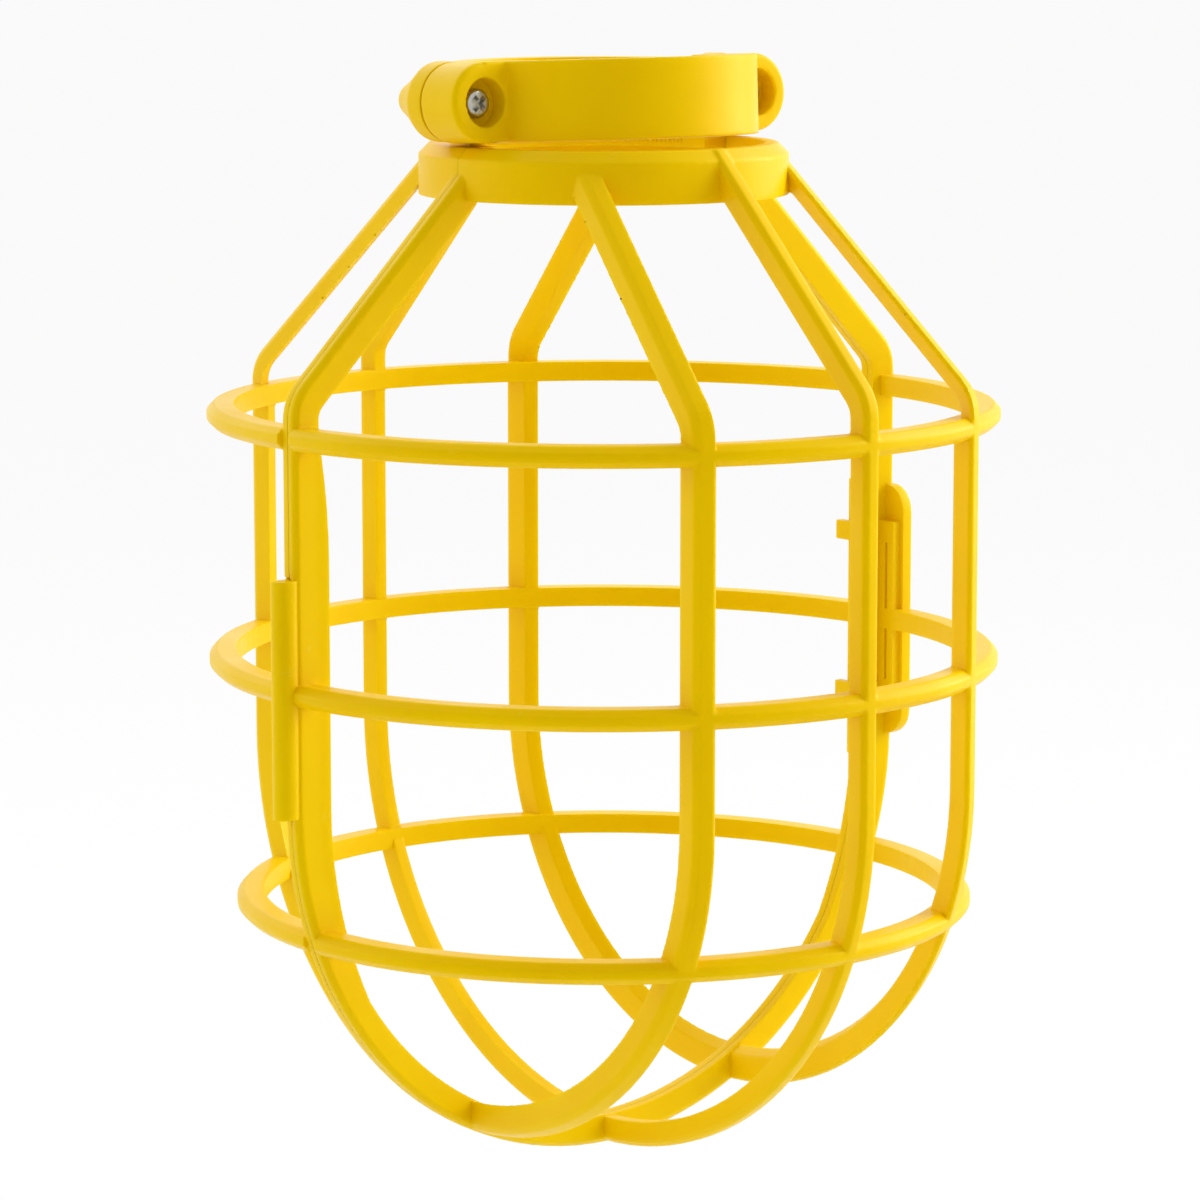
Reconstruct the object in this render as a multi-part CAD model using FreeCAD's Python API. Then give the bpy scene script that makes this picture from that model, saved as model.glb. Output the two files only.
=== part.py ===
import FreeCAD, Part
import math
import os

V = FreeCAD.Vector
UP = V(0, 0, 1)
ACROSS = V(1, 0, 0)
BACK = V(0, 1, 0)
CENTRE = V(0, 0, 0)

# Clamshell guard for a lampholder: two moulded half cages, hinged down one side and
# latched down the other, with a screwed collar on top. +X runs from hinge to latch,
# -Y is the half that opens, +Z is up. The origin is the middle of the collar's bore.

# Clamp collar
bore_r = 22.0
collar_wall = 3.3
strap_height = 13.0
strap_lean = 2.4          # degrees that the strap's front edge sits up on its screws
strap_end_y = 3.3
seam_gap = 0.3
rear_collar_top = 5.8
shoulder_thick = 2.0

# Skirt: the lower ring of the collar, which carries the ribs
skirt_step = 5.2
skirt_wall = 4.0
skirt_height = 8.5
skirt_ease = 1.8
skirt_top_z = -7.2

# Screw bosses, one each side
boss_offset = 3.6
boss_r = 6.5
boss_ease = 0.6
boss_front_y = -5.5
boss_body_length = 3.2
boss_taper_length = 4.4
nose_r = 4.0
nose_length = 3.2
nose_ease = 1.5

# Screws
head_r = 2.7
head_height = 1.5
shank_r = 1.4
shank_length = 12.0
recess_reach = 1.75
recess_width = 0.75
recess_depth = 1.1
counterbore_r = 3.95
counterbore_depth = 3.5
hole_clearance = 0.25
thread_clearance = 0.05
head_clearance = 0.15

# Half cages
cage_r = 65.7
rib_depth = 4.2
rib_width = 3.5
rib_inner_width = 2.3
edge_ease = 0.8
root = 0.6                # how far a rib or ring runs into what carries it
ring_depth = 4.5
ring_height = 3.5
ring_ease = 1.1
first_ring_z = -51.6
ring_pitch = 40.8
ring_count = 3
dome_drop = 17.9          # centre of the dome below the second ring

# Ribs: where their outer edge leaves the skirt, and where the slope would meet the wall
side_rib_x = 28.5
side_rib_top_x = 20.8
side_slope_depth = 3.3
side_slope_slant = 0.7    # how far the slope's inner edge stands out from straight
side_crown_drop = 3.3
side_shoulder_rise = 5.5
middle_slope_depth = 4.3
middle_crown_drop = 1.3
middle_shoulder_rise = 7.2
bend_r = 8.0

# Split rib: the U in the split plane, half of it on each cage
split_inset = 1.0
half_width = 2.0
split_depth = 4.7
split_upper_depth = 5.1   # above the first ring
split_bow = 2.2           # how far the wall's inner edge stands in from the dome's
split_bow_run = 20.0      # height over which it comes in below the first ring
split_bow_turn = 33.0     # degrees round the dome to where it ends
split_inner_width = 1.5
split_crown_drop = 4.3
split_shoulder_rise = 6.2
split_sink = 1.3

# Hinge: a pin on the rear half in an open barrel on the front half
hinge_offset = 1.05
barrel_r = 2.2
barrel_length = 38.4
barrel_wrap = 200.0
pin_r = 1.2
pin_clearance = 0.07
barrel_clearance = 0.3
web_from = 8.0
web_to = 45.0
hinge_drop = 0.7

# Latch: a finger plate with two arms on the front half, a strip on the rear half
plate_height = 44.2
plate_reach = 6.2
plate_thick = 2.0
plate_corner = 4.5
plate_rise = 1.3
pad_thick = 1.6
pad_inset = 0.8
slit_y = 3.3
slit_width = 0.5
slit_depth = 0.6
arm_spacing = 28.4
arm_height = 3.3
arm_thick = 1.5
arm_reach = 3.7
arm_clearance = 0.4
strip_height = 48.8
strip_reach = 2.6
strip_thick = 1.6

collar_r = bore_r + collar_wall
skirt_r = collar_r + skirt_step
boss_x = collar_r + boss_offset
beyond = (boss_x + boss_r) * 2
split_r = cage_r - split_inset
hinge_x = -(split_r + hinge_offset)
skirt_bottom_z = skirt_top_z - skirt_height
skirt_inner_r = skirt_r - skirt_wall
ring_levels = [first_ring_z - ring_pitch * n for n in range(ring_count)]
latch_level = first_ring_z - ring_pitch
dome_z = latch_level - dome_drop
split_dome_z = dome_z - split_sink
half_strap = strap_height / 2
seat_y = boss_front_y + counterbore_depth
rear_face_y = strap_end_y + seam_gap
split_inner_x = split_r - split_depth
split_upper_x = split_r - split_upper_depth
strip_inner_x = split_inner_x - split_bow
arm_outer_x = strip_inner_x - arm_clearance


def outline(points, eases, place):
    """A flat face with some corners cut back; place turns a section point into a point in space."""
    corners = []
    for index, (point, ease) in enumerate(zip(points, eases)):
        here = V(*point, 0)
        if ease == 0:
            corners.append(place(here))
            continue
        for other in (points[index - 1], points[(index + 1) % len(points)]):
            corners.append(place(here + (V(*other, 0) - here).normalize() * ease))
    return Part.Face(Part.makePolygon(corners + [corners[0]]))


def rounded_end(width, height, radius, place):
    """A flat face, square at its near side and round at the two far corners."""
    half = height / 2
    turn = radius * (1 - math.sqrt(0.5))
    low = [V(width - radius, -half, 0), V(width - turn, -half + turn, 0), V(width, -half + radius, 0)]
    high = [V(point.x, -point.y, 0) for point in reversed(low)]
    edges = [Part.makeLine(place(V(0, half, 0)), place(V(0, -half, 0))),
             Part.makeLine(place(V(0, -half, 0)), place(low[0])),
             Part.Arc(*[place(point) for point in low]).toShape(),
             Part.makeLine(place(low[2]), place(high[0])),
             Part.Arc(*[place(point) for point in high]).toShape(),
             Part.makeLine(place(high[2]), place(V(0, half, 0)))]
    return Part.Face(Part.Wire(edges))


def level(point):
    """Section points drawn as a level section at z = 0."""
    return V(point.x, point.y, 0)


def upright(point):
    """Section points drawn as radius and height, in the plane y = 0."""
    return V(point.x, 0, point.y)


def moved(shape, offset):
    """A copy of a shape, shifted."""
    return shape.translated(offset)


def turned(shape, centre, axis, degrees):
    """A copy of a shape, turned about an axis."""
    copy = shape.copy()
    copy.rotate(centre, axis, degrees)
    return copy


def box(x_from, x_to, y_from, y_to, z_from, z_to):
    """A block between two corners."""
    return Part.makeBox(x_to - x_from, y_to - y_from, z_to - z_from, V(x_from, y_from, z_from))


def joined(shapes):
    """One solid from several that overlap."""
    return shapes[0].multiFuse(shapes[1:]).removeSplitter()


def both_sides(shape):
    """A shape and its mirror image across x = 0."""
    return [shape, shape.mirror(CENTRE, ACROSS)]


def rib(section, upper_section, foot, crown, crown_z, shoulder_z, arc_z, arc_axis):
    """One rib from its level sections: under the dome, up the wall, round the shoulder, in to the skirt."""
    run = crown - foot
    distance = run.Length
    toward = V(run).normalize()
    climb = math.atan2(crown_z - shoulder_z, distance)
    turn = math.degrees(math.pi / 2 - climb)
    tangent = bend_r * math.tan(math.radians(turn) / 2)
    bend_z = shoulder_z - tangent
    low = moved(section, UP * arc_z)
    wall = low.extrude(UP * (first_ring_z - arc_z))
    dome = low.revolve(UP * arc_z, arc_axis, 90)
    neck = moved(upper_section, UP * first_ring_z).extrude(UP * (bend_z - first_ring_z))
    high = moved(upper_section, UP * bend_z)
    bend_centre = foot + toward * bend_r + UP * bend_z
    bend_axis = UP.cross(toward)
    bend = high.revolve(bend_centre, bend_axis, turn)
    slope = toward * math.cos(climb) + UP * math.sin(climb)
    length = distance / math.cos(climb) - tangent + skirt_wall
    incline = turned(high, bend_centre, bend_axis, turn).extrude(slope * length)
    return [dome, wall, neck, bend, incline]


def wall_y(x, radius):
    """Distance from the split plane of a round wall at x."""
    return math.sqrt(radius ** 2 - x ** 2)


def cross_rib(x, crown_x, slope_depth, slant, crown_drop, shoulder_rise):
    """A rib that runs from the skirt down the cage's wall and under it to the split rib."""
    outer = rib_width / 2
    inner = rib_inner_width / 2
    inside_r = cage_r - rib_depth
    eases = [edge_ease, edge_ease, 0, 0]
    outside = [(x - outer, wall_y(x - outer, cage_r)), (x + outer, wall_y(x + outer, cage_r))]
    inside = [(x + inner, wall_y(x + inner, inside_r)), (x - inner, wall_y(x - inner, inside_r))]
    raised = [(x_value + slant, y_value + rib_depth - slope_depth) for x_value, y_value in inside]
    outer_y = wall_y(x, cage_r)
    return rib(outline(outside + inside, eases, level), outline(outside + raised, eases, level),
               V(x, outer_y, 0),
               V(crown_x, wall_y(crown_x, skirt_r), 0), skirt_top_z - crown_drop,
               first_ring_z + shoulder_rise, dome_z, -ACROSS)


def split_section(inner_x):
    """Level section of half the split rib: a flat seam face and a side that tapers inward."""
    points = [(split_r, 0), (split_r, half_width), (inner_x, split_inner_width), (inner_x, 0)]
    return outline(points, [0, edge_ease, 0, 0], level)


def split_rib():
    """Half of the U that both cages share, from the skirt on one side round to the other."""
    pieces = rib(split_section(split_inner_x), split_section(split_upper_x), V(split_r, 0, 0),
                 V(skirt_r, 0, 0), skirt_top_z - split_crown_drop,
                 first_ring_z + split_shoulder_rise, split_dome_z, BACK)
    return [side for piece in pieces + [split_bow_filler()] for side in both_sides(piece)]


def upright_arc(start, end):
    """An arc in the plane y = 0 that leaves its start straight up or down."""
    run = end - start
    lean = math.atan2(abs(run.x), abs(run.z)) / 2
    reach = run.Length / 2 / math.cos(lean)
    offset = V(math.copysign(reach * math.sin(lean), run.x), 0, math.copysign(reach * math.cos(lean), run.z))
    return Part.Arc(start, start + offset, end).toShape()


def split_bow_filler():
    """The bowed inner edge of the split rib, from the first ring to part of the way round the dome."""
    turn = math.radians(split_bow_turn)
    top = V(split_upper_x, 0, first_ring_z)
    inmost = V(split_inner_x - split_bow, 0, first_ring_z - split_bow_run)
    level_end = V(inmost.x, 0, split_dome_z)
    low = V(split_inner_x * math.cos(turn), 0, split_dome_z - split_inner_x * math.sin(turn))
    overlap = ACROSS * split_depth * 0.75
    corner = V(split_inner_x, 0, split_dome_z)
    back = [V(split_inner_x, 0, first_ring_z) + overlap, corner + overlap, low + overlap]
    edges = [upright_arc(inmost, top), Part.makeLine(top, back[0]), Part.makeLine(back[0], back[1]),
             Part.makeLine(back[1], back[2]), Part.makeLine(back[2], low), upright_arc(level_end, low),
             Part.makeLine(level_end, inmost)]
    return Part.Face(Part.Wire(edges)).extrude(BACK * split_inner_width)


def ring(z):
    """Half a hoop at one level, flush with the ribs."""
    radius = cage_r
    if z < dome_z:
        radius = math.sqrt(cage_r ** 2 - (dome_z - z) ** 2)
    half = ring_height / 2
    points = [(radius - ring_depth, -half), (radius, -half), (radius, half), (radius - ring_depth, half)]
    section = outline(points, [0, ring_ease, ring_ease, 0], upright)
    return moved(section, UP * z).revolve(CENTRE, UP, 180)


def skirt():
    """Half of the lower collar ring."""
    points = [(skirt_inner_r, skirt_bottom_z), (skirt_r, skirt_bottom_z),
              (skirt_r, skirt_top_z), (skirt_inner_r, skirt_top_z)]
    section = outline(points, [0, 0, skirt_ease, 0], upright)
    return section.revolve(CENTRE, UP, 180)


def half_cage():
    """What both halves have in common, drawn for the half behind the split plane."""
    members = cross_rib(0, 0, middle_slope_depth, 0, middle_crown_drop, middle_shoulder_rise)
    for piece in cross_rib(side_rib_x, side_rib_top_x, side_slope_depth, side_slope_slant,
                           side_crown_drop, side_shoulder_rise):
        members += both_sides(piece)
    members += [ring(z) for z in ring_levels]
    seam_side = box(-cage_r * 2, cage_r * 2, -root, half_width - root, split_dome_z - cage_r * 2, 0)
    members = [piece.cut(seam_side) for piece in members] + split_rib()
    well_depth = bend_r + skirt_height + rib_depth * 2
    well = Part.makeCylinder(skirt_inner_r, well_depth, UP * (skirt_top_z - well_depth))
    above = Part.makeCylinder(skirt_r * 2, skirt_r, UP * skirt_top_z)
    return joined([skirt()] + [piece.cut(well).cut(above) for piece in members])


def hinge_column(radius, length, degrees=360.0):
    """An upright cylinder, or a sector of one, on the hinge line."""
    base = V(hinge_x, 0, latch_level - hinge_drop - length / 2)
    return Part.makeCylinder(radius, length, base, UP, degrees)


def barrel():
    """The open barrel, wrapped from the split plane round the outside of the pin."""
    return hinge_column(barrel_r, barrel_length, barrel_wrap)


def hinge_pin():
    """The pin and the web that carries it."""
    pin = hinge_column(pin_r, barrel_length)
    reach = barrel_r + barrel_clearance + root
    web = hinge_column(reach, barrel_length, web_to - web_from)
    return [pin, turned(web, V(hinge_x, 0, 0), UP, web_from)]


def latch_plate():
    """The finger plate, its inner pad with a slit, and the two arms that reach behind the strip."""
    z = latch_level + plate_rise
    inner_x = split_r - plate_thick

    def on_plate(point):
        return V(inner_x, point.x, z + point.y)

    face = rounded_end(plate_reach, plate_height, plate_corner, on_plate)
    plate = face.extrude(ACROSS * plate_thick)
    pad_x = inner_x - pad_thick
    pad_half = arm_spacing / 2 + arm_height / 2
    pad = box(pad_x, inner_x + root, 0, plate_reach - pad_inset, z - pad_half, z + pad_half)
    slit_half = pad_half - arm_height - slit_width
    slit = box(pad_x - slit_depth, pad_x + slit_depth, slit_y, slit_y + slit_width,
               z - slit_half, z + slit_half)
    pieces = [plate, pad.cut(slit)]
    for side in (-1, 1):
        low = z + side * arm_spacing / 2 - arm_height / 2
        arm = box(arm_outer_x - arm_thick, arm_outer_x, -arm_reach, half_width, low, low + arm_height)
        foot = box(arm_outer_x - root, pad_x + root, seam_gap, half_width, low, low + arm_height)
        pieces += [arm, foot]
    return pieces


def latch_strip():
    """The strip on the rear half that the arms lie behind."""
    z_from = latch_level - strip_height / 2
    return box(strip_inner_x, strip_inner_x + strip_thick, 0, strip_reach, z_from, z_from + strip_height)


def boss_profile(outline):
    """A solid turned about a screw's line, from radius and y values that start on the line."""
    points = [V(radius, y, 0) for radius, y in outline]
    face = Part.Face(Part.makePolygon(points + [points[0]]))
    return moved(face.revolve(CENTRE, BACK, 360), ACROSS * boss_x)


def rear_boss():
    """A rear screw boss: a straight body, a taper and a short nose."""
    straight_end = rear_face_y + boss_body_length
    taper_end = straight_end + boss_taper_length
    body = boss_profile([(0, rear_face_y), (boss_r, rear_face_y), (boss_r, straight_end),
                         (nose_r, taper_end), (nose_r - nose_ease, taper_end + nose_length),
                         (0, taper_end + nose_length)])
    block = box(bore_r, boss_x, rear_face_y, straight_end, -boss_r, min(boss_r, rear_collar_top))
    return [body, block]


def rear_collar():
    """The rear half of the clamp collar, on a flange that joins it to the skirt."""
    bottom = skirt_top_z - shoulder_thick
    wall = Part.makeCylinder(collar_r, rear_collar_top - bottom, UP * bottom)
    wall = wall.cut(box(-beyond, beyond, -beyond, rear_face_y, skirt_top_z, beyond))
    flange = Part.makeCylinder(skirt_r - skirt_ease, shoulder_thick, UP * bottom)
    pieces = [wall, flange]
    for piece in rear_boss():
        pieces += both_sides(piece)
    whole = joined(pieces)
    whole = whole.cut(box(-beyond, beyond, -beyond, 0, bottom - root, beyond))
    bore = Part.makeCylinder(bore_r, beyond, UP * (bottom - root))
    pilot_r = shank_r + thread_clearance
    pilot_end = seat_y + shank_length + thread_clearance
    pilot = boss_profile([(0, 0), (pilot_r, 0), (pilot_r, pilot_end), (0, pilot_end)])
    for tool in [bore] + both_sides(pilot):
        whole = whole.cut(tool)
    return whole


def rear_cage():
    """The fixed half: cage, rear collar with its bosses, hinge pin and latch strip."""
    cage = half_cage().cut(hinge_column(barrel_r + barrel_clearance, barrel_length + 2 * barrel_clearance))
    return joined([cage, rear_collar(), latch_strip()] + hinge_pin())


def front_cage():
    """The half that opens: cage, hinge barrel and latch plate."""
    drawn = joined([half_cage(), barrel()] + latch_plate())
    bore = hinge_column(pin_r + pin_clearance, barrel_length + 2 * barrel_clearance)
    return drawn.cut(bore).mirror(CENTRE, BACK)


def clamp_strap():
    """The front half of the collar, with a counterbored boss at each end."""
    band = Part.makeCylinder(collar_r, strap_height, UP * -half_strap)
    band = band.cut(box(-beyond, beyond, strap_end_y, beyond, -beyond, beyond))
    rim = boss_r - boss_ease
    boss = boss_profile([(0, boss_front_y), (rim, boss_front_y), (boss_r, boss_front_y + boss_ease),
                         (boss_r, strap_end_y), (0, strap_end_y)])
    block = box(bore_r - collar_wall, boss_x, boss_front_y, strap_end_y, -boss_r, boss_r)
    whole = joined([band] + both_sides(boss) + both_sides(block))
    pocket = boss_profile([(0, boss_front_y - root), (counterbore_r, boss_front_y - root),
                           (counterbore_r, seat_y), (0, seat_y)])
    hole_r = shank_r + hole_clearance
    hole = boss_profile([(0, boss_front_y), (hole_r, boss_front_y), (hole_r, rear_face_y), (0, rear_face_y)])
    for tool in both_sides(pocket) + both_sides(hole):
        whole = whole.cut(tool)
    leaning = turned(whole, CENTRE, ACROSS, -strap_lean)
    return leaning.cut(Part.makeCylinder(bore_r, strap_height * 2, UP * -strap_height))


def screw(side):
    """A cross-recess screw: flat head and plain shank."""
    under = seat_y - head_clearance
    top = under - head_height
    tip = seat_y + shank_length
    profile = [(0, top), (head_r, top), (head_r, under), (shank_r, under), (shank_r, tip), (0, tip)]
    points = [V(radius, y, 0) for radius, y in profile]
    body = Part.Face(Part.makePolygon(points + [points[0]])).revolve(CENTRE, BACK, 360)
    half = recess_width / 2
    for reach_x, reach_z in ((recess_reach, half), (half, recess_reach)):
        body = body.cut(box(-reach_x, reach_x, top - root, top + recess_depth, -reach_z, reach_z))
    return moved(body, ACROSS * boss_x * side)


parts = {
    "rear_cage": rear_cage(),
    "front_cage": front_cage(),
    "clamp_strap": clamp_strap(),
    "screw_hinge_side": screw(-1),
    "screw_latch_side": screw(1),
}

os.makedirs("parts", exist_ok=True)
for name, shape in parts.items():
    solid = shape.Solids[0] if len(shape.Solids) == 1 else shape
    solid.exportStep("parts/" + name + ".step")
    box_mm = solid.BoundBox
    print(name, "solids", len(shape.Solids), "valid", shape.isValid(), "volume", round(shape.Volume),
          "z", round(box_mm.ZMin, 2), round(box_mm.ZMax, 2))
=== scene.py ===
"""A clamshell lamp guard in yellow polypropylene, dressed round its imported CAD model.

The two half cages and the clamp strap are injection mouldings, and the strap is held by two
zinc-plated cross-recess screws. Lengths are in metres, in the CAD model's own frame, and a value
whose name ends in "angle" is in degrees.
"""

import logging
import math
from collections.abc import Callable, Iterator
from contextlib import contextmanager
from dataclasses import dataclass, field
from enum import Enum

import bmesh
import bpy
from mathutils import Matrix, Vector

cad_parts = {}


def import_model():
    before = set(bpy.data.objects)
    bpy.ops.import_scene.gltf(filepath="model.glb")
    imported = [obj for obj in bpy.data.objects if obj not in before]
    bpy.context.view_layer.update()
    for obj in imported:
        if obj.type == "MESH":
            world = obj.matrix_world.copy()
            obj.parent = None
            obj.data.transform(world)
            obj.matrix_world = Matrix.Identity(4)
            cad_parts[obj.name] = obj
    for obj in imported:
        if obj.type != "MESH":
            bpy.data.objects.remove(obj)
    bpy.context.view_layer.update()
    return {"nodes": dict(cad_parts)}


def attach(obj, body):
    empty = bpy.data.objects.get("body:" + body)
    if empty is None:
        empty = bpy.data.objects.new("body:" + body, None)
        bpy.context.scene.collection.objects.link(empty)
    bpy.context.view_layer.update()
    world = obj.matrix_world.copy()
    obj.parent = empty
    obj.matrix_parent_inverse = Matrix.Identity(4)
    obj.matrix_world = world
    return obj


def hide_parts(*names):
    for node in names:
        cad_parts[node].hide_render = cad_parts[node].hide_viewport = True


log = logging.getLogger("lamp_guard")

Colour = tuple[float, float, float, float]
Point = tuple[float, float, float]
Span = tuple[float, float]

MM = 0.001
WHITE: Colour = (1.0, 1.0, 1.0, 1.0)
# A Mix node has several pairs of sockets of the same name, so its colour sockets go by number.
MIX_A, MIX_B, MIX_RESULT = 6, 7, 2
# Most values of a noise texture lie in this span.
NOISE_SPAN: Span = (0.3, 0.7)
# Blender's remesh fills at most this share of its grid.
FULLEST_GRID = 0.99
# A face looks along an axis where its normal's part along that axis is above this.
FACING = 0.9


class Body(str, Enum):
    """The moving bodies of the guard."""

    REAR = "rear_half"
    FRONT = "front_half"


class Slot(str, Enum):
    """The record's material slots."""

    PLASTIC = "yellow_plastic"
    SCREW = "zinc_plated_steel"


def linear(hex_colour: str) -> Colour:
    """Turn an sRGB hex colour into linear light.

    Args:
        hex_colour: six hex digits, such as "F2C200".

    Returns:
        Linear red, green, blue and an alpha of 1.
    """
    channels = [int(hex_colour[i:i + 2], 16) / 255 for i in (0, 2, 4)]
    # The sRGB curve is straight near black and a power above.
    lit = [c / 12.92 if c <= 0.04045 else ((c + 0.055) / 1.055) ** 2.4 for c in channels]
    return lit[0], lit[1], lit[2], 1.0


def empty_tree(owner: bpy.types.Material | bpy.types.World) -> bpy.types.NodeTree:
    """Give a material or a world a node tree with nothing in it.

    Args:
        owner: the material or the world.

    Returns:
        Its node tree.
    """
    owner.use_nodes = True
    owner.node_tree.nodes.clear()
    return owner.node_tree


def add_node(tree: bpy.types.NodeTree, kind: str, inputs: dict | None = None,
             **settings: object) -> bpy.types.Node:
    """Add one node to a tree.

    Args:
        tree: the tree that gets the node.
        kind: the node's type name.
        inputs: input sockets, by name or number, and what each takes: an output socket or a constant.
        settings: the node's attributes.

    Returns:
        The new node.
    """
    node = tree.nodes.new(kind)
    for name, value in settings.items():
        setattr(node, name, value)
    for key, source in (inputs or {}).items():
        if isinstance(source, bpy.types.NodeSocket):
            tree.links.new(source, node.inputs[key])
        else:
            node.inputs[key].default_value = source
    return node


def noise(tree: bpy.types.NodeTree, place: bpy.types.NodeSocket, length: float, detail: float,
          **others: float) -> bpy.types.NodeSocket:
    """Add a noise texture.

    Args:
        tree: the tree that gets it.
        place: the coordinates.
        length: how long one patch is.
        detail: how many finer layers lie over the patches.
        others: further inputs and their constants.

    Returns:
        The noise, from 0 to 1.
    """
    inputs = {"Vector": place, "Scale": 1 / length, "Detail": detail, **others}
    return add_node(tree, "ShaderNodeTexNoise", inputs).outputs["Fac"]


def mixed(tree: bpy.types.NodeTree, share: bpy.types.NodeSocket, first: Colour | bpy.types.NodeSocket,
          second: Colour | bpy.types.NodeSocket) -> bpy.types.NodeSocket:
    """Mix two colours.

    Args:
        tree: the tree that gets the node.
        share: how much there is of the second colour, from 0 to 1.
        first: the first colour.
        second: the second colour.

    Returns:
        The mixed colour.
    """
    inputs = {"Factor": share, MIX_A: first, MIX_B: second}
    return add_node(tree, "ShaderNodeMix", inputs, data_type="RGBA").outputs[MIX_RESULT]


def ranged(tree: bpy.types.NodeTree, value: bpy.types.NodeSocket, source: Span,
           target: Span) -> bpy.types.NodeSocket:
    """Stretch one span of a value over another, and hold it at the ends.

    Args:
        tree: the tree that gets the node.
        value: the value.
        source: the span of the value that counts.
        target: the span that it becomes.

    Returns:
        The stretched value.
    """
    inputs = {"Value": value, "From Min": source[0], "From Max": source[1],
              "To Min": target[0], "To Max": target[1]}
    return add_node(tree, "ShaderNodeMapRange", inputs).outputs["Result"]


def shown_to_camera(tree: bpy.types.NodeTree) -> bpy.types.NodeSocket:
    """Tell the rays that show a background from the rays that only light the scene.

    Args:
        tree: the tree that gets the nodes.

    Returns:
        1 for a camera, glossy or transmission ray, and 0 for any other.
    """
    rays = add_node(tree, "ShaderNodeLightPath").outputs
    mirrored = add_node(tree, "ShaderNodeMath", operation="MAXIMUM",
                        inputs={0: rays["Is Glossy Ray"], 1: rays["Is Transmission Ray"]})
    shown = add_node(tree, "ShaderNodeMath", operation="MAXIMUM",
                     inputs={0: rays["Is Camera Ray"], 1: mirrored.outputs[0]})
    return shown.outputs[0]


def deselect_all() -> None:
    """Leave no object selected."""
    for thing in bpy.context.selected_objects:
        thing.select_set(False)


def make_active(thing: bpy.types.Object) -> None:
    """Select one object alone and make it active."""
    deselect_all()
    thing.select_set(True)
    bpy.context.view_layer.objects.active = thing


def apply_modifier(thing: bpy.types.Object, kind: str, **settings: object) -> None:
    """Add a modifier to an object and apply it.

    Args:
        thing: the mesh object.
        kind: the modifier's type name.
        settings: the modifier's attributes.
    """
    make_active(thing)
    modifier = thing.modifiers.new(kind.lower(), kind)
    for name, value in settings.items():
        setattr(modifier, name, value)
    bpy.ops.object.modifier_apply(modifier=modifier.name)


def combine(thing: bpy.types.Object, other: bpy.types.Object, operation: str) -> None:
    """Apply a Boolean to an object and remove the other one.

    Args:
        thing: the object that changes.
        other: the object that is joined to it or cut from it.
        operation: "UNION" or "DIFFERENCE".
    """
    apply_modifier(thing, "BOOLEAN", operation=operation, object=other, solver="EXACT")
    bpy.data.objects.remove(other)


@contextmanager
def editing(thing: bpy.types.Object, verts: Callable | None = None,
            faces: Callable | None = None) -> Iterator[bmesh.types.BMesh]:
    """Hold a mesh in edit mode with some of it selected, or all of it where no test is given.

    Args:
        thing: the mesh object.
        verts: the test that a selected vertex passes.
        faces: the test that a selected face passes.

    Yields:
        The mesh being edited.
    """
    make_active(thing)
    bpy.ops.object.mode_set(mode="EDIT")
    mesh = bmesh.from_edit_mesh(thing.data)
    elements, test = (mesh.faces, faces) if faces else (mesh.verts, verts)
    for element in elements:
        element.select = test is None or test(element)
    mesh.select_flush_mode()
    bmesh.update_edit_mesh(thing.data)
    yield mesh
    bpy.ops.object.mode_set(mode="OBJECT")


def settle(thing: bpy.types.Object) -> bpy.types.Object:
    """Put an object's place into its mesh, so that the object sits unturned at the origin.

    Args:
        thing: the mesh object.

    Returns:
        The same object.
    """
    make_active(thing)
    bpy.ops.object.transform_apply(location=True, rotation=True, scale=True)
    return thing


def merged(parts: list[bpy.types.Object], name: str) -> bpy.types.Object:
    """Join several mesh objects into one.

    Args:
        parts: the objects, which are used up.
        name: the joined object's name.

    Returns:
        The joined object.
    """
    deselect_all()
    for part in parts:
        part.select_set(True)
    bpy.context.view_layer.objects.active = parts[0]
    bpy.ops.object.join()
    parts[0].name = name
    parts[0].data.name = name
    return parts[0]


def dress(thing: bpy.types.Object, material: bpy.types.Material) -> None:
    """Give a piece its material."""
    thing.data.materials.clear()
    thing.data.materials.append(material)


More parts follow.
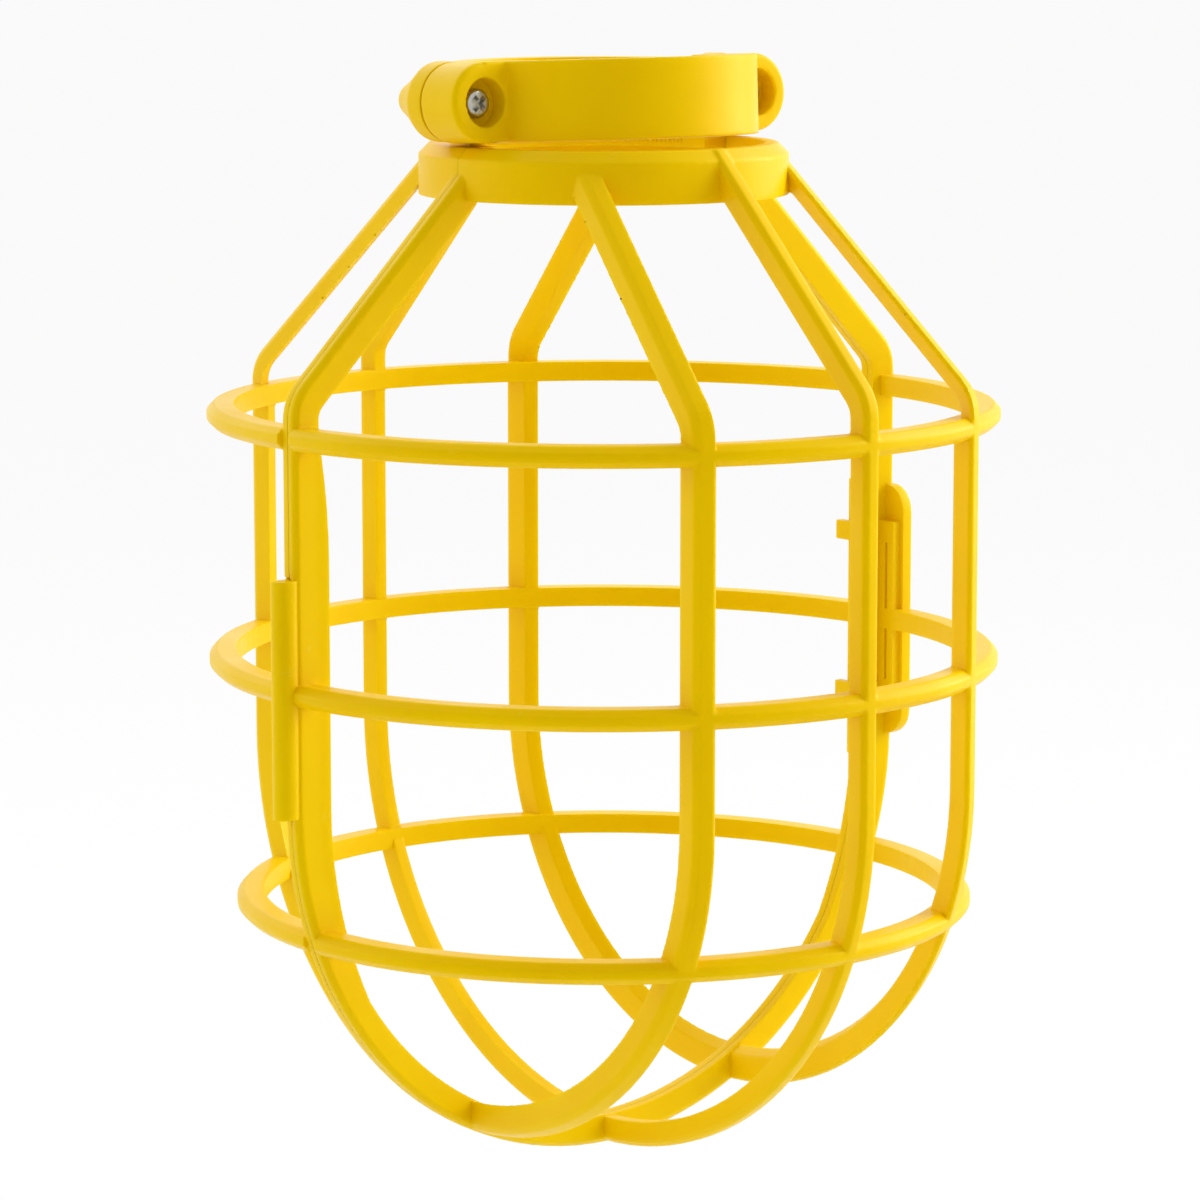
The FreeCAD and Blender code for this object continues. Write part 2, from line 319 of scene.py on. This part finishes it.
@dataclass(frozen=True)
class MouldedPolypropylene:
    """Injection-moulded polypropylene, self-coloured yellow, from a lightly polished mould.

    The light goes a short way into it, so thin edges glow and hollows stay warm. Flow marks
    shift the colour slightly over centimetres, and handling has rubbed it paler in patches.
    """

    name: str = "moulded_polypropylene"
    colour: str = "F4CF00"
    deep_colour: str = "EABE00"
    scuff_colour: str = "F7DE48"
    sheen_colour: str = "F0D058"
    ior: float = 1.49
    specular: float = 0.17
    roughness: Span = (0.28, 0.42)
    flow_length: float = 26 * MM
    flow_detail: float = 3.0
    flow_distortion: float = 0.6
    scuff_length: float = 5 * MM
    scuff_detail: float = 6.0
    scuff_roughness: float = 0.7
    scuff_span: Span = (0.66, 0.82)
    scuff_share: float = 0.55
    sink_strength: float = 0.12
    sink_height: float = 0.6 * MM
    grain_length: float = 0.6 * MM
    grain_detail: float = 4.0
    grain_strength: float = 0.06
    grain_height: float = 0.05 * MM
    glow: float = 0.2
    glow_depth: float = 2.4 * MM
    glow_tint: Point = (1.0, 0.88, 0.12)

    def build(self) -> bpy.types.Material:
        """Build the material.

        Returns:
            The material, in Object coordinates.
        """
        material = bpy.data.materials.new(self.name)
        tree = empty_tree(material)
        place = add_node(tree, "ShaderNodeTexCoord").outputs["Object"]
        flow = noise(tree, place, self.flow_length, self.flow_detail, Distortion=self.flow_distortion)
        scuffs = noise(tree, place, self.scuff_length, self.scuff_detail, Roughness=self.scuff_roughness)
        grain = noise(tree, place, self.grain_length, self.grain_detail)
        tone = mixed(tree, flow, linear(self.colour), linear(self.deep_colour))
        rubbed = ranged(tree, scuffs, self.scuff_span, (0.0, self.scuff_share))
        sink = add_node(tree, "ShaderNodeBump", {
            "Height": flow, "Strength": self.sink_strength, "Distance": self.sink_height})
        bump = add_node(tree, "ShaderNodeBump", {
            "Height": grain, "Strength": self.grain_strength, "Distance": self.grain_height,
            "Normal": sink.outputs["Normal"]})
        shader = add_node(tree, "ShaderNodeBsdfPrincipled", {
            "Base Color": mixed(tree, rubbed, tone, linear(self.scuff_colour)),
            "Roughness": ranged(tree, flow, NOISE_SPAN, self.roughness),
            "Normal": bump.outputs["Normal"],
            "IOR": self.ior,
            "Specular IOR Level": self.specular,
            "Specular Tint": linear(self.sheen_colour),
            "Subsurface Weight": self.glow,
            "Subsurface Radius": self.glow_tint,
            "Subsurface Scale": self.glow_depth})
        add_node(tree, "ShaderNodeOutputMaterial", {"Surface": shader.outputs["BSDF"]})
        return material


@dataclass(frozen=True)
class ZincPlate:
    """Bright zinc plate on a cold-headed steel screw, with fine duller spots."""

    name: str = "bright_zinc_plate"
    colour: str = "C9CBC8"
    dull_colour: str = "9A9A92"
    roughness: Span = (0.20, 0.36)
    grit_length: float = 0.5 * MM
    grit_detail: float = 5.0
    grit_strength: float = 0.15
    grit_height: float = 0.03 * MM

    def build(self) -> bpy.types.Material:
        """Build the material.

        Returns:
            The material, in Object coordinates.
        """
        material = bpy.data.materials.new(self.name)
        tree = empty_tree(material)
        place = add_node(tree, "ShaderNodeTexCoord").outputs["Object"]
        grit = noise(tree, place, self.grit_length, self.grit_detail)
        bump = add_node(tree, "ShaderNodeBump", {
            "Height": grit, "Strength": self.grit_strength, "Distance": self.grit_height})
        shader = add_node(tree, "ShaderNodeBsdfPrincipled", {
            "Base Color": mixed(tree, grit, linear(self.colour), linear(self.dull_colour)),
            "Roughness": ranged(tree, grit, NOISE_SPAN, self.roughness),
            "Normal": bump.outputs["Normal"],
            "Metallic": 1.0})
        add_node(tree, "ShaderNodeOutputMaterial", {"Surface": shader.outputs["BSDF"]})
        return material


@dataclass(frozen=True)
class PaperSweep:
    """White background paper: the camera and reflections see it nearly plain white, lamps see it matt."""

    name: str = "white_paper"
    colour: str = "F2F2F0"
    plain_share: float = 0.9

    def build(self) -> bpy.types.Material:
        """Build the material.

        Returns:
            The material of the floor.
        """
        material = bpy.data.materials.new(self.name)
        tree = empty_tree(material)
        paper = add_node(tree, "ShaderNodeBsdfDiffuse", {"Color": linear(self.colour)})
        plain_white = add_node(tree, "ShaderNodeEmission", {"Color": WHITE, "Strength": 1.0})
        share = add_node(tree, "ShaderNodeMath", operation="MULTIPLY",
                         inputs={0: shown_to_camera(tree), 1: self.plain_share})
        sweep = add_node(tree, "ShaderNodeMixShader",
                         {0: share.outputs[0], 1: paper.outputs[0], 2: plain_white.outputs[0]})
        add_node(tree, "ShaderNodeOutputMaterial", {"Surface": sweep.outputs[0]})
        return material


@dataclass
class Moulding:
    """A moulded piece: the CAD solid rebuilt in small even cells, with its edges just broken."""

    node: str
    body: Body
    cell: float = 0.4 * MM
    smooth_passes: int = 2
    smooth_factor: float = 0.5
    target_faces: int = 190_000
    crease_angle: float = 52.0
    weld_distance: float = 0.0005 * MM

    def build(self, source: bpy.types.Object, material: bpy.types.Material) -> bpy.types.Object:
        """Build the piece from its CAD node.

        Args:
            source: the CAD node's object.
            material: the moulded finish.

        Returns:
            The finished piece.
        """
        piece = self.copied(source)
        self.remesh(piece)
        self.thin(piece)
        self.shade(piece)
        dress(piece, material)
        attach(piece, self.body.value)
        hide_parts(self.node)
        return piece

    def copied(self, source: bpy.types.Object) -> bpy.types.Object:
        """Copy the CAD node as a closed mesh of its own.

        Args:
            source: the CAD node's object.

        Returns:
            The copy, with its doubles merged.
        """
        name = "moulded_" + self.node
        piece = bpy.data.objects.new(name, source.data.copy())
        piece.data.name = name
        bpy.context.scene.collection.objects.link(piece)
        with editing(piece):
            bpy.ops.mesh.remove_doubles(threshold=self.weld_distance)
        return piece

    def remesh(self, piece: bpy.types.Object) -> None:
        """Rebuild the piece in even cells that keep its edges, then relax it to break them.

        Args:
            piece: the closed copy.
        """
        cells = max(piece.dimensions) / self.cell
        depth = math.ceil(math.log2(cells / FULLEST_GRID))
        apply_modifier(piece, "REMESH", mode="SHARP", octree_depth=depth, scale=cells / 2 ** depth,
                       use_remove_disconnected=False)
        apply_modifier(piece, "SMOOTH", factor=self.smooth_factor, iterations=self.smooth_passes)

    def thin(self, piece: bpy.types.Object) -> None:
        """Thin the mesh to its target, flat faces first."""
        triangles = sum(len(face.vertices) - 2 for face in piece.data.polygons)
        log.info("%s: %d triangles before thinning", piece.name, triangles)
        if triangles > self.target_faces:
            apply_modifier(piece, "DECIMATE", ratio=self.target_faces / triangles)

    def shade(self, piece: bpy.types.Object) -> None:
        """Shade smoothly up to the crease angle, with normals that follow the larger faces."""
        make_active(piece)
        bpy.ops.object.shade_smooth_by_angle(angle=math.radians(self.crease_angle))
        apply_modifier(piece, "WEIGHTED_NORMAL", keep_sharp=True)


@dataclass
class SoftMoulding(Moulding):
    """A moulded piece whose edges are rounded all over, as on the clamp strap."""

    cell: float = 0.26 * MM
    smooth_passes: int = 10
    target_faces: int = 120_000

    def shade(self, piece: bpy.types.Object) -> None:
        """Shade the whole piece smoothly, with no creases."""
        make_active(piece)
        bpy.ops.object.shade_smooth()


@dataclass
class GripSerrations:
    """The fine upright teeth moulded on the inner wall of the rear collar half."""

    body: Body = Body.REAR
    bore_r: float = 22.0 * MM
    tooth_height: float = 0.35 * MM
    tooth_width: float = 0.6 * MM
    bottom_z: float = -8.6 * MM
    top_z: float = 4.6 * MM
    from_angle: float = 14.0
    to_angle: float = 166.0
    pitch_angle: float = 2.1
    embed: float = 0.3 * MM
    ridge_width_share: float = 0.2
    ridge_length_share: float = 0.94

    def build(self, material: bpy.types.Material) -> bpy.types.Object:
        """Build the row of teeth.

        Args:
            material: the moulded finish.

        Returns:
            The finished piece.
        """
        teeth = [self.one_tooth()]
        for _ in range(int((self.to_angle - self.from_angle) / self.pitch_angle)):
            tooth = teeth[0].copy()
            tooth.data = teeth[0].data.copy()
            bpy.context.scene.collection.objects.link(tooth)
            teeth.append(tooth)
        for index, tooth in enumerate(teeth):
            angle = math.radians(self.from_angle + index * self.pitch_angle)
            tooth.matrix_world = Matrix.Rotation(angle, 4, "Z")
            settle(tooth)
        row = merged(teeth, "grip_serrations")
        dress(row, material)
        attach(row, self.body.value)
        return row

    def one_tooth(self) -> bpy.types.Object:
        """Model one tooth on the +X side of the bore.

        Returns:
            A wedge whose ridge points at the bore's axis.
        """
        depth = self.tooth_height + self.embed
        middle = Vector((self.bore_r + self.embed - depth / 2, 0, (self.bottom_z + self.top_z) / 2))
        deselect_all()
        bpy.ops.mesh.primitive_cube_add(
            size=1, location=middle, scale=(depth, self.tooth_width, self.top_z - self.bottom_z))
        tooth = settle(bpy.context.active_object)
        with editing(tooth, verts=lambda vertex: vertex.co.x < middle.x):
            bpy.ops.transform.resize(value=(1, self.ridge_width_share, self.ridge_length_share))
        return tooth


@dataclass
class ClampScrew:
    """A cross-recess pan-head screw with a thread-forming shank."""

    node: str
    side: float
    body: Body = Body.REAR
    line_x: float = 28.9 * MM
    under_head_y: float = -2.15 * MM
    tip_y: float = 10.0 * MM
    crease_angle: float = 35.0

    head_r: float = 2.4 * MM
    head_height: float = 1.5 * MM
    head_sides: int = 48
    dome_share: float = 0.55
    dome_steps: int = 6

    recess_reach: float = 2.05 * MM
    recess_width: float = 1.3 * MM
    recess_depth: float = 0.8 * MM
    recess_angle: float = 45.0
    recess_taper: float = 0.45

    shank_r: float = 1.1 * MM
    shank_sides: int = 32
    tip_inset_share: float = 0.05
    tip_share: float = 0.6
    tip_steps: int = 3

    thread_r: float = 1.4 * MM
    thread_pitch: float = 1.25 * MM
    thread_steps: int = 24
    root_r_share: float = 0.9
    root_width_share: float = 0.6
    crest_share: float = 0.15
    weld_distance: float = 0.001 * MM

    def build(self, material: bpy.types.Material) -> bpy.types.Object:
        """Build the screw.

        Args:
            material: the zinc finish.

        Returns:
            The finished piece.
        """
        head = self.head()
        combine(head, self.recess(), "DIFFERENCE")
        screw = merged([head, self.shank(), self.thread()], "cross_recess_" + self.node)
        make_active(screw)
        bpy.ops.object.shade_smooth_by_angle(angle=math.radians(self.crease_angle))
        dress(screw, material)
        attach(screw, self.body.value)
        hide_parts(self.node)
        return screw

    def placed(self, thing: bpy.types.Object, y: float) -> bpy.types.Object:
        """Lay a piece that was modelled along +Z on the screw's line, pointing back.

        Args:
            thing: the piece.
            y: where its origin comes to lie.

        Returns:
            The same piece.
        """
        turn = Matrix.Rotation(math.radians(-90), 4, "X")
        thing.matrix_world = Matrix.Translation((self.line_x * self.side, y, 0)) @ turn
        return settle(thing)

    def head(self) -> bpy.types.Object:
        """Model the domed head, with its underside on z = 0 and its dome down.

        Returns:
            The head on the screw's line.
        """
        deselect_all()
        bpy.ops.mesh.primitive_cylinder_add(
            vertices=self.head_sides, radius=self.head_r, depth=self.head_height,
            location=(0, 0, -self.head_height / 2))
        head = settle(bpy.context.active_object)
        with editing(head, faces=lambda face: face.normal.z < -FACING):
            bpy.ops.mesh.bevel(offset=self.head_height * self.dome_share, segments=self.dome_steps,
                               affect="EDGES")
        return self.placed(head, self.under_head_y)

    def recess(self) -> bpy.types.Object:
        """Model the tapered cross that is cut from the head.

        Returns:
            The cutting cross on the screw's line.
        """
        bars = []
        for angle in (self.recess_angle, self.recess_angle + 90):
            deselect_all()
            bpy.ops.mesh.primitive_cube_add(
                size=1, scale=(self.recess_reach * 2, self.recess_width, self.recess_depth * 2),
                rotation=(0, 0, math.radians(angle)))
            bar = settle(bpy.context.active_object)
            with editing(bar, verts=lambda vertex: vertex.co.z > 0):
                bpy.ops.transform.resize(value=(self.recess_taper, self.recess_taper, 1),
                                         center_override=(0, 0, 0))
            bars.append(bar)
        combine(bars[0], bars[1], "UNION")
        return self.placed(bars[0], self.under_head_y - self.head_height)

    def shank(self) -> bpy.types.Object:
        """Model the plain core of the shank with its point.

        Returns:
            The shank on the screw's line.
        """
        length = self.tip_y - self.under_head_y
        deselect_all()
        bpy.ops.mesh.primitive_cylinder_add(
            vertices=self.shank_sides, radius=self.shank_r, depth=length, location=(0, 0, length / 2))
        shank = settle(bpy.context.active_object)
        with editing(shank, faces=lambda face: face.normal.z > FACING):
            bpy.ops.mesh.inset(thickness=self.shank_r * self.tip_inset_share)
            bpy.ops.mesh.bevel(offset=self.shank_r * self.tip_share, segments=self.tip_steps,
                               affect="EDGES")
        return self.placed(shank, self.under_head_y)

    def thread(self) -> bpy.types.Object:
        """Model the thread as a ridge wound round the shank.

        Returns:
            The thread on the screw's line.
        """
        start = self.thread_pitch
        turns = int((self.tip_y - self.under_head_y - 2 * start) / self.thread_pitch)
        root_r = self.shank_r * self.root_r_share
        root = self.thread_pitch * self.root_width_share / 2
        crest = root * self.crest_share
        profile = [(root_r, -root), (self.thread_r, -crest), (self.thread_r, crest), (root_r, root)]
        deselect_all()
        bpy.ops.mesh.primitive_plane_add(size=1)
        ridge = bpy.context.active_object
        with editing(ridge) as mesh:
            for loop, (radius, height) in zip(next(iter(mesh.faces)).loops, profile):
                loop.vert.co = (radius, 0, start + height)
            bmesh.update_edit_mesh(ridge.data)
        apply_modifier(ridge, "SCREW", angle=math.radians(360), screw_offset=self.thread_pitch,
                       iterations=turns, steps=self.thread_steps, render_steps=self.thread_steps,
                       use_merge_vertices=False)
        with editing(ridge):
            bpy.ops.mesh.remove_doubles(threshold=self.weld_distance)
            bpy.ops.mesh.normals_make_consistent(inside=False)
        return self.placed(ridge, self.under_head_y)


@dataclass
class LampGuard:
    """The whole guard: two half cages, the clamp strap, its screws and the collar's grip."""

    mouldings: list[Moulding] = field(default_factory=lambda: [
        Moulding("rear_cage", Body.REAR),
        Moulding("front_cage", Body.FRONT),
        SoftMoulding("clamp_strap", Body.REAR),
    ])
    screws: list[ClampScrew] = field(default_factory=lambda: [
        ClampScrew("screw_hinge_side", -1),
        ClampScrew("screw_latch_side", 1),
    ])
    grip: GripSerrations = field(default_factory=GripSerrations)

    def build(self, nodes: dict[str, bpy.types.Object]) -> None:
        """Build and dress every piece.

        Args:
            nodes: the CAD nodes by name.
        """
        plastic = MouldedPolypropylene().build()
        zinc = ZincPlate().build()
        pieces = [moulding.build(nodes[moulding.node], plastic) for moulding in self.mouldings]
        pieces.append(self.grip.build(plastic))
        pieces += [screw.build(zinc) for screw in self.screws]
        for piece in pieces:
            log.info("%s: %d faces", piece.name, len(piece.data.polygons))


@dataclass(frozen=True)
class Softbox:
    """One square lamp: its name, its place, the length of its side and its power in watts."""

    name: str
    place: Point
    side: float
    power: float

    def hang(self, aim: Vector) -> None:
        """Hang the lamp so that it faces a point.

        Args:
            aim: the point.
        """
        data = bpy.data.lights.new(self.name, "AREA")
        data.shape = "SQUARE"
        data.size = self.side
        data.energy = self.power
        lamp = bpy.data.objects.new(self.name, data)
        lamp.location = self.place
        lamp.rotation_euler = (aim - Vector(self.place)).to_track_quat("-Z", "Y").to_euler()
        bpy.context.scene.collection.objects.link(lamp)


@dataclass(frozen=True)
class PhotoCamera:
    """The camera at the photograph's place. Its two turns are in radians, its lens in millimetres."""

    name: str = "photo_camera"
    azimuth: float = 0.694
    pitch: float = 0.1537
    distance: float = 0.77353
    height: float = 0.0363
    focal_length: float = 140.64
    sensor_width: float = 36.0
    shift_x: float = -0.0031
    clip_start: float = 0.01

    def build(self) -> None:
        """Set up the camera and make it the scene's own."""
        data = bpy.data.cameras.new(self.name)
        data.sensor_width = self.sensor_width
        data.lens = self.focal_length
        data.shift_x = self.shift_x
        data.clip_start = self.clip_start
        camera = bpy.data.objects.new(self.name, data)
        back = Vector((-math.sin(self.azimuth), -math.cos(self.azimuth), 0)) * self.distance
        camera.location = back + Vector((0, 0, self.height))
        camera.rotation_euler = (math.radians(90) - self.pitch, 0, -self.azimuth)
        bpy.context.scene.collection.objects.link(camera)
        bpy.context.scene.camera = camera


@dataclass
class Studio:
    """A white sweep, soft lamps and the photograph's camera."""

    floor_z: float = -0.30
    floor_size: float = 80.0
    world_light: float = 0.6
    aim: Point = (0, 0, -0.085)
    lamps: tuple[Softbox, ...] = (
        Softbox("key_softbox", (0.92, -0.40, 0.35), 0.9, 12.0),
        Softbox("fill_softbox", (-0.75, 0.6, 0.2), 1.0, 3.0),
        Softbox("top_softbox", (0.15, 0.75, 0.8), 1.2, 4.5),
    )

    def build(self) -> None:
        """Build the floor, the light and the camera."""
        self.floor()
        self.world()
        for lamp in self.lamps:
            lamp.hang(Vector(self.aim))
        PhotoCamera().build()

    def floor(self) -> None:
        """Lay the white sweep under and behind the guard."""
        deselect_all()
        bpy.ops.mesh.primitive_plane_add(size=self.floor_size, location=(0, 0, self.floor_z))
        sweep = settle(bpy.context.active_object)
        sweep.name = "studio_floor"
        sweep.data.materials.append(PaperSweep().build())

    def world(self) -> None:
        """Light the scene evenly, and show plain white behind it."""
        world = bpy.data.worlds.new("white_studio")
        bpy.context.scene.world = world
        tree = empty_tree(world)
        light = add_node(tree, "ShaderNodeBackground", {"Color": WHITE, "Strength": self.world_light})
        plain_white = add_node(tree, "ShaderNodeBackground", {"Color": WHITE, "Strength": 1.0})
        backdrop = add_node(tree, "ShaderNodeMixShader", {
            0: shown_to_camera(tree), 1: light.outputs[0], 2: plain_white.outputs[0]})
        add_node(tree, "ShaderNodeOutputWorld", {"Surface": backdrop.outputs[0]})


def main() -> None:
    """Build the guard and its studio."""
    logging.basicConfig(level=logging.INFO, format="%(name)s %(message)s")
    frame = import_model()
    bpy.context.scene.view_settings.view_transform = "Standard"
    LampGuard().build(frame["nodes"])
    Studio().build()
    deselect_all()


if __name__ == "__main__":
    main()
